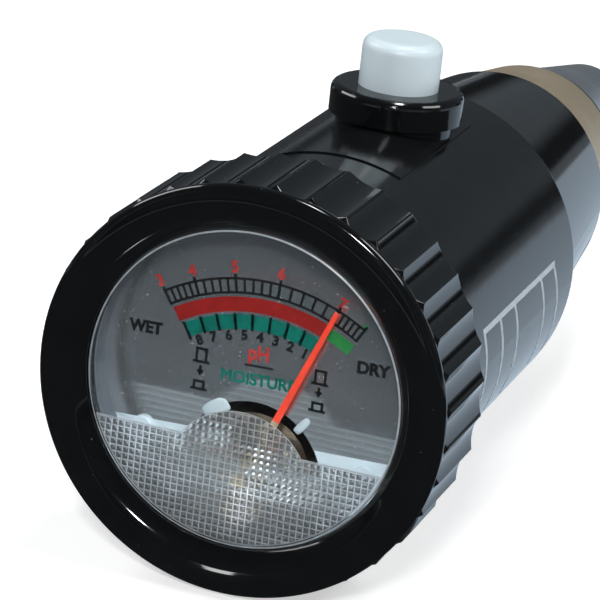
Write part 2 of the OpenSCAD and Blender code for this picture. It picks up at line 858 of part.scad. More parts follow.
module spring_seat() {
    color("#c9cdd0") upright() tube(counterbore_r, seat_hole_r, shank_low, seat_up);
}

module circuit_board() {
    color("#2f6b3a") upright() difference() {
        translate([-board_w / 2, -board_len / 2, board_low]) cube([board_w, board_len, board_t]);
        board_fixings() bar(small_screw_r + hole_clear, board_low - cut, board_up + cut);
        switch_pin_places() bar(pin_r, board_low - cut, board_up + cut);
    }
}

module board_screws() {
    color("#8d8f90") upright() board_fixings() mirror([0, 0, 1])
        slotted_screw(small_screw_r, board_screw_len, small_head_r, small_head_t, -board_up);
}

// Places of the switch's four pins
module switch_pin_places() {
    for (x = [-1, 1]) for (y = [-1, 1]) translate([x * pin_spread / 2, y * pin_spread / 2, 0]) children();
}

module switch_body() {
    color("#232427") upright() difference() {
        translate([-switch_w / 2, -switch_w / 2, board_up]) cube([switch_w, switch_w, switch_h]);
        bar(plunger_r + run_clear, plunger_floor, switch_top + cut);
    }
}

module switch_plunger() {
    color("#b4b7ba") upright() bar(plunger_r, plunger_low, plunger_top);
}

module switch_pins() {
    color("#c9a24a") upright() switch_pin_places() bar(pin_r, board_up - pin_len, board_up);
}

module trimmer_body() {
    color("#2d4f86") upright() translate([trimmer_x, 0, 0]) difference() {
        bar(trimmer_r, board_up, board_up + trimmer_h);
        bar(rotor_r + run_clear, board_up + trimmer_h - rotor_h, board_up + trimmer_h + cut);
    }
}

module trimmer_screw() {
    rotor_top = board_up + trimmer_h + rotor_stand;
    color("#d0b060") upright() translate([trimmer_x, 0, 0]) difference() {
        bar(rotor_r, board_up + trimmer_h - rotor_h + run_clear, rotor_top);
        translate([-rotor_r - cut, -slot_w / 2, rotor_top - slot_d]) cube([2 * (rotor_r + cut), slot_w, cut]);
    }
}

module resistors() {
    color("#c2a57c") upright() for (gap = resistor_gaps)
        translate([-switch_w / 2 - gap, 0, board_up + resistor_r]) {
            rotate([90, 0, 0]) cylinder(r = resistor_r, h = resistor_len, center = true);
            for (end = [-1, 1]) {
                reach = resistor_len / 2 + resistor_reach;
                rotate([-90 * end, 0, 0]) cylinder(r = resistor_pin_r, h = reach + resistor_pin_r);
                translate([0, end * reach, -resistor_r]) cylinder(r = resistor_pin_r, h = resistor_r);
            }
        }
}

// A lead along the axis that bends down onto the board; it runs from the board towards a station
module lead(x, land_s, far_s) {
    way = far_s > land_s ? 1 : -1;
    beside(x, lead_up) {
        bar(lead_r, min(land_s + way * bend_r, far_s), max(land_s + way * bend_r, far_s));
        translate([0, bend_r, land_s + way * bend_r]) rotate([0, 90, 0])
            rotate([0, 0, way > 0 ? -90 : 180])
                rotate_extrude(angle = 90) translate([bend_r, 0]) circle(r = lead_r, $fn = 24);
    }
}

module meter_leads() {
    color("#a02a24") lay() for (side = [-1, 1])
        lead(side * lead_x, button_s - lead_land_y, shoulder_s + terminal_len);
}

module probe_leads() {
    color("#2a4fa0") lay() for (side = [-1, 1])
        lead(side * lead_x, button_s + lead_land_y, tag_end - crimp_len);
}

module probe_sleeve() {
    color("#0e1014") lay() difference() {
        rotate_extrude() polygon(concat(
            [[0, spigot_s], [spigot_r, spigot_s], [spigot_r, barrel_end], [sleeve_front_r, barrel_end]],
            arc([sleeve_r(sleeve_end) - sleeve_round, sleeve_end - sleeve_round], sleeve_round, 0, 90),
            [[0, sleeve_end]]
        ));
        rotate_extrude() polygon([
            [0, spigot_s - cut],
            [spigot_r - sleeve_wall, spigot_s - cut],
            [spigot_r - sleeve_wall, barrel_end],
            [sleeve_r(bulkhead_s) - sleeve_wall, bulkhead_s],
            [0, bulkhead_s]
        ]);
        bar(stud_hole_r, bulkhead_s - cut, sleeve_end + cut);
        ring_screw_places() bar(ring_screw_r + hole_clear, bulkhead_s - cut, sleeve_end + cut);
    }
}

// Places of the screws that hold the ring electrode to the sleeve
module ring_screw_places() {
    for (turn = ring_screw_turns) round_axis(ring_screw_pcd_r, turn) children();
}

module sleeve_seal() {
    color("#1a1a1a") lay() difference() {
        tube(brass_front_r - brass_chamfer, brass_bore_r, sleeve_end, brass_s);
        ring_screw_places() bar(ring_screw_r + hole_clear, sleeve_end - cut, brass_s + cut);
    }
}

module ring_electrode() {
    color("#b39a6a") lay() difference() {
        rotate_extrude() polygon([
            [brass_bore_r, brass_s],
            [brass_front_r - brass_chamfer, brass_s],
            [brass_front_r, brass_s + brass_chamfer],
            [brass_rear_r, brass_end - brass_chamfer],
            [brass_rear_r - brass_chamfer, brass_end],
            [brass_bore_r, brass_end]
        ]);
        ring_screw_places() bar(ring_screw_r + run_clear, brass_s - cut, bulkhead_s + ring_screw_len + cut);
    }
}

module ring_screws() {
    color("#8d8f90") lay() for (i = [0:len(ring_screw_turns) - 1])
        round_axis(ring_screw_pcd_r, ring_screw_turns[i])
            slotted_screw(ring_screw_r, ring_screw_len, ring_head_r, ring_head_t,
                          bulkhead_s - (i == 0 ? tag_t : 0));
}

// A terminal tag: an eye, an arm to the lead's place and a crimped tube that points forwards
module tag(eye, hole_r, end) {
    d = end - eye;
    difference() {
        union() {
            translate([eye.x, -eye.y, 0]) bar(hole_r + tag_ring_w, tag_end, bulkhead_s);
            translate([eye.x, -eye.y, tag_end]) rotate([0, 0, atan2(-d.y, d.x)])
                translate([0, -tag_arm_w / 2, 0]) cube([norm(d), tag_arm_w, tag_t]);
            translate([end.x, -end.y, 0]) bar(crimp_r, tag_end - crimp_len, bulkhead_s);
        }
        translate([eye.x, -eye.y, 0]) bar(hole_r, tag_end - cut, bulkhead_s + cut);
    }
}

module ring_tag() {
    turn = ring_screw_turns[0];
    color("#c9a24a") lay() tag(ring_screw_pcd_r * [sin(turn), cos(turn)], ring_eye_r,
                               [lead_x, lead_up]);
}

module tip_tag() {
    color("#c9a24a") lay() tag([0, 0], stud_r + run_clear, [-lead_x, lead_up]);
}

module insulator_bush() {
    color("#15161a") lay() difference() {
        union() {
            bar(insulator_r, brass_end, tip_s);
            bar(insulator_spigot_r, brass_end - insulator_depth, brass_end + cut / 2);
        }
        bar(stud_hole_r, brass_end - insulator_depth - cut, tip_s + cut);
    }
}

module tip_electrode() {
    color("#9aa0a6") lay() difference() {
        rotate_extrude() polygon(concat(
            [[0, tip_s], [tip_front_r, tip_s], [tip_neck_r, tip_neck_s]],
            arc([0, length - tip_round], tip_round, tip_turn, 90)
        ));
        bar(stud_r + run_clear, tip_s - cut, tip_s + stud_into_tip + cut);
    }
}

module clamp_stud() {
    color("#b9bcc0") lay() bar(stud_r, stud_s, tip_s + stud_into_tip);
}

module clamp_nut() {
    color("#b9bcc0") lay() hex_nut(stud_nut_af, stud_r + run_clear, tag_end - nut_h, tag_end);
}

bezel_ring();
lens();
lens_seal();
dial_spacer();
dial_plate();
dial_screws();
meter_frame();
frame_screws();
meter_terminals();
yoke_ring();
magnet_core();
moving_coil();
pivot_pins();
pointer();
front_hairspring();
rear_hairspring();
front_bridge();
bridge_screws();
front_jewel();
rear_jewel();
barrel();
button_collar();
collar_nut();
button_cap();
button_stem();
button_spring();
spring_seat();
circuit_board();
board_screws();
switch_body();
switch_plunger();
switch_pins();
trimmer_body();
trimmer_screw();
resistors();
meter_leads();
probe_leads();
probe_sleeve();
sleeve_seal();
ring_electrode();
ring_screws();
ring_tag();
insulator_bush();
tip_electrode();
clamp_stud();
clamp_nut();
tip_tag();
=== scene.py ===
import math

import bmesh
import bpy
from mathutils import Matrix, Vector


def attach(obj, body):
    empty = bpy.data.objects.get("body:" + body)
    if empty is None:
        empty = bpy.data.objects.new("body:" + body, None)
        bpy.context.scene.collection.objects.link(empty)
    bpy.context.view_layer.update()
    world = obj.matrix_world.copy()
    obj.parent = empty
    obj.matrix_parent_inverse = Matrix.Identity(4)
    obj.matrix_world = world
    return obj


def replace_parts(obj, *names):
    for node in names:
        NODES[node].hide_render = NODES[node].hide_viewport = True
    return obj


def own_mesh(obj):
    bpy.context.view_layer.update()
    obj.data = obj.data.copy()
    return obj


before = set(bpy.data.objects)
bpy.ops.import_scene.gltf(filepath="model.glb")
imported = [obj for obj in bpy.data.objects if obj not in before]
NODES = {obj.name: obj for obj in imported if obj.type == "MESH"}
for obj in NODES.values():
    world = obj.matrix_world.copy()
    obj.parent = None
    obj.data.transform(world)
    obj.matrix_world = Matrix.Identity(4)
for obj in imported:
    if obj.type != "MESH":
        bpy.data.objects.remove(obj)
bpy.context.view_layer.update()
scene = bpy.context.scene

# The meter's own axes, in millimetres: x to the right, s from the bezel's front towards the point, up from
# the axis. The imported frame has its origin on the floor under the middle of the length.
MM = 0.001
MID_S = 82.5
AXIS_H = 25.3054


def at(x, s, up):
    return Vector((x * MM, (s - MID_S) * MM, (up + AXIS_H) * MM))


def polar(r, s, turn):
    """A point at an angle from the top, clockwise as seen from the dial's side."""
    a = math.radians(turn)
    return at(r * math.sin(a), s, r * math.cos(a))


def even(k):
    """The same texture scale along all three axes."""
    return (k, k, k)


# Materials

class Nodes:
    """A node material under construction, with its texture space in millimetres."""

    def __init__(self, name):
        self.mat = bpy.data.materials.new(name)
        self.mat.use_nodes = True
        self.tree = self.mat.node_tree
        self.bsdf = self.tree.nodes["Principled BSDF"]
        self.out = self.tree.nodes["Material Output"]
        self.space = None

    def add(self, kind, **values):
        node = self.tree.nodes.new("ShaderNode" + kind)
        for key, value in values.items():
            setattr(node, key, value)
        return node

    def link(self, source, target):
        self.tree.links.new(source, target)

    def set(self, **sockets):
        for key, value in sockets.items():
            self.bsdf.inputs[key.replace("_", " ")].default_value = value

    def coords(self, stretch=even(1)):
        if self.space is None:
            self.space = self.add("TexCoord").outputs["Object"]
        mapping = self.add("Mapping")
        self.link(self.space, mapping.inputs["Vector"])
        mapping.inputs["Scale"].default_value = [k / MM for k in stretch]
        return mapping.outputs["Vector"]

    def noise(self, stretch, detail=3.0, rough=0.55):
        node = self.add("TexNoise")
        self.link(self.coords(stretch), node.inputs["Vector"])
        node.inputs["Scale"].default_value = 1.0
        node.inputs["Detail"].default_value = detail
        node.inputs["Roughness"].default_value = rough
        return node.outputs["Fac"]

    def bands(self, scale, distortion=0.0):
        """Stripes across the barrel's length."""
        node = self.add("TexWave", wave_type="BANDS", bands_direction="Y")
        self.link(self.coords(), node.inputs["Vector"])
        node.inputs["Scale"].default_value = scale
        node.inputs["Distortion"].default_value = distortion
        return node.outputs["Fac"]

    def span(self, value, low, high, from_low=0.3, from_high=0.7):
        node = self.add("MapRange")
        self.link(value, node.inputs["Value"])
        numbers = (("From Min", from_low), ("From Max", from_high), ("To Min", low), ("To Max", high))
        for key, number in numbers:
            node.inputs[key].default_value = number
        return node.outputs["Result"]

    def mix(self, factor, a, b):
        node = self.add("Mix", data_type="RGBA")
        self.link(factor, node.inputs["Factor"])
        for socket, value in ((node.inputs["A"], a), (node.inputs["B"], b)):
            if isinstance(value, tuple):
                socket.default_value = (*value, 1.0)
            else:
                self.link(value, socket)
        return node.outputs["Result"]

    def colour(self, value):
        self.link(value, self.bsdf.inputs["Base Color"])

    def rough(self, value):
        self.link(value, self.bsdf.inputs["Roughness"])

    def bump(self, height, depth, distance):
        node = self.add("Bump")
        self.link(height, node.inputs["Height"])
        node.inputs["Strength"].default_value = depth
        node.inputs["Distance"].default_value = distance * MM
        self.link(node.outputs["Normal"], self.bsdf.inputs["Normal"])


def stock(name, dark, light, rough, patch=even(0.4), grain=even(6), depth=0.2, height=0.02, **sockets):
    """A material with patchy colour, patchy gloss and a fine surface relief."""
    m = Nodes(name)
    m.set(**sockets)
    tone = m.noise(patch)
    m.colour(m.mix(m.span(tone, 0, 1), dark, light))
    relief = m.noise(grain)
    m.rough(m.span(relief, *rough))
    if depth:
        m.bump(relief, depth, height)
    return m


SPECK_COLOUR = (0.12, 0.13, 0.14)
SPECK_SCALE = 3.2
SPECK_FROM, SPECK_FULL = 0.87, 0.89
WAVE_SCALE = 1.6
WAVE_DEPTH, WAVE_HEIGHT = 0.04, 0.01


def dusty_plastic(name, dark, light, rough):
    """Gloss plastic with a faint waviness and sparse dust specks."""
    m = Nodes(name)
    tone = m.span(m.noise(even(0.25)), 0, 1)
    specks = m.span(m.noise(even(SPECK_SCALE), detail=0.0), 0, 1, SPECK_FROM, SPECK_FULL)
    m.colour(m.mix(specks, m.mix(tone, dark, light), SPECK_COLOUR))
    relief = m.noise(even(WAVE_SCALE), detail=4.0)
    m.rough(m.span(relief, *rough))
    m.bump(relief, WAVE_DEPTH, WAVE_HEIGHT)
    return m


DEEP_BLACK = (0.0035, 0.004, 0.0045), (0.005, 0.0055, 0.006)
PLAIN_BLACK = (0.0045, 0.005, 0.0055), (0.007, 0.0075, 0.008)
bezel_mat = dusty_plastic("bezel_plastic", *DEEP_BLACK, (0.05, 0.1))
barrel_mat = dusty_plastic("barrel_plastic", *PLAIN_BLACK, (0.11, 0.16))
sleeve_mat = dusty_plastic("sleeve_plastic", *PLAIN_BLACK, (0.05, 0.09))

button_mat = stock("button_plastic", (0.70, 0.82, 0.87), (0.72, 0.84, 0.89), (0.32, 0.34),
                   even(0.12), even(0.3), depth=0)
pale_mat = stock("pale_plastic", (0.50, 0.53, 0.55), (0.60, 0.63, 0.65), (0.35, 0.5))
spacer_mat = stock("spacer_plastic", (0.10, 0.11, 0.13), (0.15, 0.16, 0.18), (0.3, 0.45), depth=0.1)
matte_mat = stock("matte_plastic", (0.015, 0.016, 0.018), (0.03, 0.031, 0.034), (0.45, 0.65))
frame_mat = stock("brown_plastic", (0.10, 0.068, 0.054), (0.15, 0.10, 0.08), (0.35, 0.5))
stake_mat = stock("stake_plastic", (0.50, 0.57, 0.60), (0.57, 0.64, 0.67), (0.4, 0.5))
rubber_mat = stock("rubber", (0.012, 0.012, 0.012), (0.025, 0.025, 0.025), (0.6, 0.8), grain=even(12))
steel_mat = stock("steel", (0.42, 0.43, 0.44), (0.56, 0.57, 0.58), (0.18, 0.34), Metallic=1.0)
brass_mat = stock("brass", (0.62, 0.42, 0.14), (0.76, 0.55, 0.22), (0.2, 0.36), Metallic=1.0)
iron_mat = stock("oiled_iron", (0.07, 0.05, 0.04), (0.13, 0.095, 0.075), (0.25, 0.42), Metallic=0.6)
yoke_mat = stock("bronzed_iron", (0.30, 0.22, 0.15), (0.46, 0.36, 0.26), (0.16, 0.28), Metallic=1.0)
hair_mat = stock("hairspring_bronze", (0.40, 0.20, 0.08), (0.55, 0.30, 0.13), (0.25, 0.4), Metallic=1.0)
board_mat = stock("board", (0.012, 0.09, 0.03), (0.03, 0.16, 0.05), (0.3, 0.45), (1.5, 1.5, 0.2))
trimmer_mat = stock("trimmer_plastic", (0.02, 0.06, 0.24), (0.035, 0.10, 0.32), (0.35, 0.5))
red_lead_mat = stock("red_lead", (0.30, 0.02, 0.015), (0.42, 0.035, 0.02), (0.4, 0.55))
blue_lead_mat = stock("blue_lead", (0.02, 0.06, 0.30), (0.035, 0.09, 0.42), (0.4, 0.55))

# Turned metal has its fine grooves round the axis.
ring_mat = stock("turned_brass", (0.56, 0.46, 0.32), (0.68, 0.565, 0.41), (0.42, 0.55),
                 even(0.1), (0.03, 14, 0.03), depth=0.35, Metallic=0.8)
tip_mat = stock("turned_grey_metal", (0.72, 0.76, 0.79), (0.86, 0.90, 0.92), (0.24, 0.4),
                even(0.12), (0.03, 12, 0.03), depth=0.35, Metallic=1.0)


def copper_winding():
    """Lacquered wire in close turns."""
    m = Nodes("copper_winding")
    m.set(Metallic=0.9)
    wire = m.bands(2.6, distortion=0.4)
    m.colour(m.mix(wire, (0.28, 0.09, 0.03), (0.72, 0.30, 0.12)))
    m.rough(m.span(m.noise(even(4)), 0.22, 0.4))
    m.bump(wire, 0.6, 0.05)
    return m


def resistor_bands():
    """Tan lacquer with brown bands across the body."""
    m = Nodes("resistor_lacquer")
    tan = m.mix(m.span(m.noise(even(1)), 0, 1), (0.42, 0.28, 0.14), (0.55, 0.40, 0.22))
    m.colour(m.mix(m.span(m.bands(0.2), 0, 1, 0.84, 0.88), tan, (0.10, 0.03, 0.015)))
    m.rough(m.span(m.noise(even(4)), 0.3, 0.45))
    return m


def satin_dial():
    """Satin metal, brushed from top to bottom, with pale dust that is less metallic."""
    m = Nodes("satin_dial")
    tone = m.span(m.noise(even(0.12)), 0, 1)
    base = m.mix(tone, (0.71, 0.72, 0.73), (0.78, 0.79, 0.80))
    dust = m.span(m.noise(even(4.2), detail=0.0), 0, 1, 0.79, 0.82)
    m.colour(m.mix(dust, base, (0.62, 0.65, 0.68)))
    m.link(m.span(dust, 0.9, 0.3, 0.0, 1.0), m.bsdf.inputs["Metallic"])
    m.rough(m.span(m.noise(even(3)), 0.04, 0.08))
    m.bump(m.noise((26, 1, 0.5), detail=2.0), 0.5, 0.012)
    return m


coil_mat = copper_winding()
resistor_mat = resistor_bands()
dial_mat = satin_dial()


def ink(name, dark, light):
    return stock(name, dark, light, (0.35, 0.5), even(0.9), even(5), 0.1, 0.01, Specular_IOR_Level=0.2)


black_ink = ink("black_ink", (0.006, 0.006, 0.007), (0.012, 0.012, 0.013))
red_ink = ink("red_ink", (0.21, 0.007, 0.005), (0.25, 0.010, 0.007))
bright_red_ink = ink("bright_red_ink", (0.40, 0.026, 0.02), (0.47, 0.036, 0.03))
teal_ink = ink("teal_ink", (0.0, 0.112, 0.082), (0.001, 0.138, 0.102))
green_ink = ink("green_ink", (0.016, 0.165, 0.038), (0.024, 0.195, 0.05))
white_ink = ink("white_paint", (0.66, 0.74, 0.79), (0.71, 0.79, 0.84))
label_ink = ink("label_ink", (0.48, 0.56, 0.60), (0.56, 0.64, 0.68))

# The needle is painted from this distance outwards, and bare metal nearer its pivot.
PIVOT_DROP = 12.0
PAINT_FROM, PAINT_FULL = 8.0, 8.1


def needle_paint():
    m = Nodes("needle_paint")
    place = m.add("TexCoord").outputs["Object"]
    gap = m.add("VectorMath", operation="SUBTRACT")
    m.link(place, gap.inputs[0])
    gap.inputs[1].default_value = at(0, 0, -PIVOT_DROP)
    flat = m.add("VectorMath", operation="MULTIPLY")
    m.link(gap.outputs[0], flat.inputs[0])
    flat.inputs[1].default_value = (1, 0, 1)
    reach = m.add("VectorMath", operation="LENGTH")
    m.link(flat.outputs[0], reach.inputs[0])
    painted = m.span(reach.outputs["Value"], 0, 1, PAINT_FROM * MM, PAINT_FULL * MM)
    tone = m.span(m.noise(even(1.5)), 0, 1)
    red = m.mix(tone, (0.86, 0.045, 0.018), (0.95, 0.07, 0.03))
    m.colour(m.mix(painted, (0.42, 0.33, 0.2), red))
    m.rough(m.span(m.noise(even(5)), 0.3, 0.45))
    return m


needle_mat = needle_paint()

CLEAR_IOR = 1.49
CLEAR_TINT = (0.93, 0.98, 1.0, 1.0)
SHADOW_TINT = (0.93, 0.95, 0.96, 1.0)
HAZE_DARK, HAZE_LIGHT = (0.80, 0.87, 0.91), (0.90, 0.96, 1.0)


def clear_plastic(name, rough, white=0.0, glow=0.0):
    """Clear moulding that passes lamp light without a dark shadow, with a share of white haze and a share of
    light that is let through scattered."""
    m = Nodes(name)
    m.set(Transmission_Weight=1.0 - white, IOR=CLEAR_IOR, Base_Color=CLEAR_TINT)
    m.rough(m.span(m.noise(even(1.2)), *rough))
    body = m.bsdf.outputs["BSDF"]
    if glow:
        scatter = m.add("BsdfTranslucent")
        tone = m.span(m.noise(even(2)), 0, 1)
        m.link(m.mix(tone, HAZE_DARK, HAZE_LIGHT), scatter.inputs["Color"])
        haze = m.add("MixShader")
        haze.inputs["Fac"].default_value = glow
        m.link(body, haze.inputs[1])
        m.link(scatter.outputs["BSDF"], haze.inputs[2])
        body = haze.outputs["Shader"]
    see_through = m.add("BsdfTransparent")
    see_through.inputs["Color"].default_value = SHADOW_TINT
    rays = m.add("LightPath")
    blend = m.add("MixShader")
    m.link(rays.outputs["Is Shadow Ray"], blend.inputs["Fac"])
    m.link(body, blend.inputs[1])
    m.link(see_through.outputs["BSDF"], blend.inputs[2])
    m.link(blend.outputs["Shader"], m.out.inputs["Surface"])
    return m


clear_mat = clear_plastic("clear_plastic", (0.0, 0.012))
rib_mat = clear_plastic("moulded_ribs", (0.05, 0.15), white=0.22, glow=0.46)
pit_mat = clear_plastic("moulded_pits", (0.02, 0.06), white=0.05, glow=0.24)
edge_mat = stock("ground_edge", (0.30, 0.33, 0.36), (0.46, 0.50, 0.53), (0.25, 0.45), even(1.2), even(4))

FINISHES = {
    barrel_mat: "barrel",
    sleeve_mat: "probe_sleeve",
    bezel_mat: "bezel_ring button_collar",
    clear_mat: "lens",
    rubber_mat: "lens_seal sleeve_seal",
    spacer_mat: "dial_spacer",
    dial_mat: "dial_plate front_bridge",
    white_ink: "dial_screws",
    steel_mat: "frame_screws pivot_pins bridge_screws collar_nut button_spring board_screws "
               "ring_screws clamp_stud clamp_nut",
    frame_mat: "meter_frame",
    matte_mat: "switch_body insulator_bush",
    brass_mat: "meter_terminals front_jewel rear_jewel switch_pins trimmer_screw ring_tag tip_tag",
    yoke_mat: "yoke_ring",
    iron_mat: "magnet_core",
    coil_mat: "moving_coil",
    hair_mat: "front_hairspring rear_hairspring",
    needle_mat: "pointer",
    button_mat: "button_cap",
    pale_mat: "button_stem spring_seat switch_plunger",
    board_mat: "circuit_board",
    trimmer_mat: "trimmer_body",
    resistor_mat: "resistors",
    red_lead_mat: "meter_leads",
    blue_lead_mat: "probe_leads",
    ring_mat: "ring_electrode",
    tip_mat: "tip_electrode",
}
for finish, names in FINISHES.items():
    for name in names.split():
        NODES[name].data.materials.clear()
        NODES[name].data.materials.append(finish.mat)

YOKE_EDGE = 0.3
YOKE_EDGE_STEPS = 3
YOKE_EDGE_ANGLE = 50
edge = NODES["yoke_ring"].modifiers.new("turned_edge", "BEVEL")
edge.width, edge.segments = YOKE_EDGE * MM, YOKE_EDGE_STEPS
edge.limit_method, edge.angle_limit = "ANGLE", math.radians(YOKE_EDGE_ANGLE)


# Mesh building

WELD = 1e-7


def add_object(name, data):
    obj = bpy.data.objects.new(name, data)
    scene.collection.objects.link(obj)
    return obj


def new_mesh(name, verts, faces, mat):
    mesh = bpy.data.meshes.new(name)
    mesh.from_pydata(verts, [], faces)
    mesh.materials.append(mat.mat)
    return mesh


def face_outwards(mesh, weld=False):
    bm = bmesh.new()
    bm.from_mesh(mesh)
    if weld:
        bmesh.ops.remove_doubles(bm, verts=bm.verts, dist=WELD)
    bmesh.ops.recalc_face_normals(bm, faces=bm.faces)
    bm.to_mesh(mesh)
    bm.free()


def shade_smooth(mesh, sharp):
    """Smooth shading, apart from edges that turn by more than the sharp angle."""
    for face in mesh.polygons:
        face.use_smooth = True
    mesh.set_sharp_from_angle(angle=math.radians(sharp))


def piece(name, verts, faces, mat, body, sharp=None):
    """A finished piece that moves with a body. Without a sharp angle its faces are shaded flat."""
    mesh = new_mesh(name, verts, faces, mat)
    face_outwards(mesh, weld=True)
    if sharp is not None:
        shade_smooth(mesh, sharp)
    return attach(add_object(name, mesh), body)


def steps_between(start, end, steps):
    """Equal steps from start to end, with both ends."""
    return [start + (end - start) * i / steps for i in range(steps + 1)]


def soft_min(a, b, k):
    h = max(k - abs(a - b), 0.0) / k
    return min(a, b) - h * h * k / 4


# Bezel ring: convex front rim and a fluted skirt with rounded crests

CREST_R = 25.35
FLUTE_DEPTH = 0.75
FLUTES = 36
FLUTE_TURN = 3.4
FLUTE_PITCH = 360.0 / FLUTES
FLUTE_STEPS = 22
CREST_CROWD = 0.09
CREST_SOFT = 0.08
CHAMFER_SOFT = 0.05
RIM_S = 1.6
RING_END = 15.7
CHAMFER = 0.6
CHAMFER_STEPS = 8
BEZEL_SHARP = 38
flute_half = CREST_R * math.sin(math.radians(FLUTE_PITCH / 2))
flute_rise = CREST_R * math.cos(math.radians(FLUTE_PITCH / 2)) - (CREST_R - FLUTE_DEPTH)
FLUTE_R = (flute_half ** 2 + flute_rise ** 2) / (2 * flute_rise)
FLUTE_CENTRE = CREST_R - FLUTE_DEPTH + FLUTE_R

# The ring's profile, as radius and s: inner lip, slope up to the front face, the face itself, its rounded
# outer edge, the step down to the skirt, the skirt's rows and the inside
LIP = [(19.45, 1.78), (19.52, 1.68)]
SLOPE_SHARES = (0.15, 0.35, 0.6, 0.85)
SLOPE_BULGE = 0.10
FACE_IN, FACE_OUT = 21.0, 24.2
FACE_DROP = 0.35
FACE_STEPS = 16
FACE_ROUND = 0.8
ROUND_STEPS = 10
RIM_STEP = [(25.0, 1.36), (24.96, 1.45), (24.86, 1.52), (24.7, RIM_S)]
SKIRT_ROWS = [2.35, 2.7, 4.5, 7, 9.5, 12, 14, 14.8]
RING_INSIDE = [(24.2, RING_END), (22.5, RING_END), (22.28, RING_END - 0.2), (22.28, 4.9), (21.55, 4.9),
               (21.55, 2.6), (19.45, 2.6)]


def flute(offset):
    a = math.radians(offset)
    inside = FLUTE_R ** 2 - (FLUTE_CENTRE * math.sin(a)) ** 2
    return FLUTE_CENTRE * math.cos(a) - math.sqrt(inside) if inside > 0 else 2 * CREST_R


def skirt_r(r, turn):
    offset = (turn - FLUTE_TURN) % FLUTE_PITCH - FLUTE_PITCH / 2
    other = offset - math.copysign(FLUTE_PITCH, offset)
    return soft_min(soft_min(flute(offset), flute(other), CREST_SOFT), r, CHAMFER_SOFT)


def revolve(profile, turns, place):
    """Closed ring of quads: profile points (a, b) swept through the turns, with place(a, b, turn)."""
    count = len(profile)
    verts = [place(a, b, turn) for turn in turns for a, b in profile]
    faces = []
    for i in range(len(turns)):
        j = (i + 1) % len(turns)
        for k in range(count):
            n = (k + 1) % count
            faces.append((i * count + k, i * count + n, j * count + n, j * count + k))
    return verts, faces


def bezel():
    lip_r, lip_s = LIP[-1]
    slope = [(lip_r + (FACE_IN - lip_r) * t,
              lip_s + (FACE_DROP - lip_s) * t - SLOPE_BULGE * math.sin(math.pi * t)) for t in SLOPE_SHARES]
    mid, half = (FACE_IN + FACE_OUT) / 2, (FACE_OUT - FACE_IN) / 2
    face = [(mid + half * u, FACE_DROP * u * u) for u in steps_between(-1, 1, FACE_STEPS)]
    corner = [math.radians(turn) for turn in steps_between(-90, 0, ROUND_STEPS)[1:]]
    edge_round = [(FACE_OUT + FACE_ROUND * math.cos(a), FACE_DROP + FACE_ROUND + FACE_ROUND * math.sin(a))
                  for a in corner]
    rows = [RIM_S + CHAMFER * i / CHAMFER_STEPS for i in range(CHAMFER_STEPS + 1)] + SKIRT_ROWS
    rows += [RING_END - CHAMFER + CHAMFER * i / CHAMFER_STEPS for i in range(CHAMFER_STEPS + 1)]
    skirt = [(CREST_R - max(0.0, CHAMFER - (s - RIM_S), CHAMFER - (RING_END - s)), s) for s in rows]
    fluted = set(skirt)
    turns = []
    for i in range(FLUTES):
        for k in range(FLUTE_STEPS):
            # Steps crowd towards the crests, where the surface turns fastest.
            u = k / FLUTE_STEPS
            turns.append(FLUTE_TURN + FLUTE_PITCH * (i + u - CREST_CROWD * math.sin(2 * math.pi * u)))

    def place(r, s, turn):
        return polar(skirt_r(r, turn) if (r, s) in fluted else r, s, turn)

    profile = LIP + slope + face + edge_round + RIM_STEP + skirt + RING_INSIDE
    verts, faces = revolve(profile, turns, place)
    return piece("bezel_screw_ring", verts, faces, bezel_mat, "screw_ring", BEZEL_SHARP)


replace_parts(bezel(), "bezel_ring")


# Lens: stepped disc with a moulded field of small square pits in its lower part, built in (x, up, s)

LENS_FRONT = 1.9
LENS_BACK = 2.9
LENS_SEAT = 2.6
LENS_END = 4.2
LENS_R = 21.4
CLEAR_R = 19.05
STEP_R = 19.25
LENS_STEPS = 180
LENS_SHARP = 25
EDGE_CUT = 0.1
GROUND_DEEP = 0.12
GROUND_MARGIN = 0.01
LENS_PROFILE = [(CLEAR_R, LENS_FRONT), (STEP_R, LENS_FRONT + GROUND_DEEP), (STEP_R, LENS_SEAT),
                (LENS_R - EDGE_CUT, LENS_SEAT), (LENS_R, LENS_SEAT + EDGE_CUT), (LENS_R, LENS_END - EDGE_CUT),
                (LENS_R - EDGE_CUT, LENS_END), (CLEAR_R + 0.25, LENS_END), (CLEAR_R + 0.1, LENS_BACK)]

GRID_PITCH = 0.8
GRID_RIB = 0.15
GRID_SUNK = 0.08
GRID_DEEP = 0.28
PIT_FLOOR = 0.1
PIT_ABOVE = 0.2
GRID_TOP = -6.65
BUMP_X = 0.59
BUMP_UP = -11.36
BUMP_R = 8.78
BUMP_STEPS = 40
GRID_EDGE_R = 18.8
GRID_EDGE_STEPS = 72
FIELD_GROW = 0.1
FIELD_ABOVE = 0.4
PIT_GAP = 0.05
PIT_CUT_ABOVE = 0.1


def on_circle(cx, cup, r, start, end, steps):
    turns = [math.radians(turn) for turn in steps_between(start, end, steps)]
    return [(cx + r * math.sin(a), cup + r * math.cos(a)) for a in turns]


def grid_outline(grow):
    """The field's edge: a level top with a round bump, closed by an arc inside the lens's rim."""
    rim, top, bump = GRID_EDGE_R + grow, GRID_TOP + grow, BUMP_R + grow
    side = math.degrees(math.acos(top / rim))
    half = math.degrees(math.acos((top - BUMP_UP) / bump))
    return (on_circle(0, 0, rim, side, 360 - side, GRID_EDGE_STEPS)
            + on_circle(BUMP_X, BUMP_UP, bump, -half, half, BUMP_STEPS))


def loose(name, verts, faces, mat):
    """An object to cut, or to cut with."""
    mesh = new_mesh(name, verts, faces, mat)
    face_outwards(mesh)
    return add_object(name, mesh)


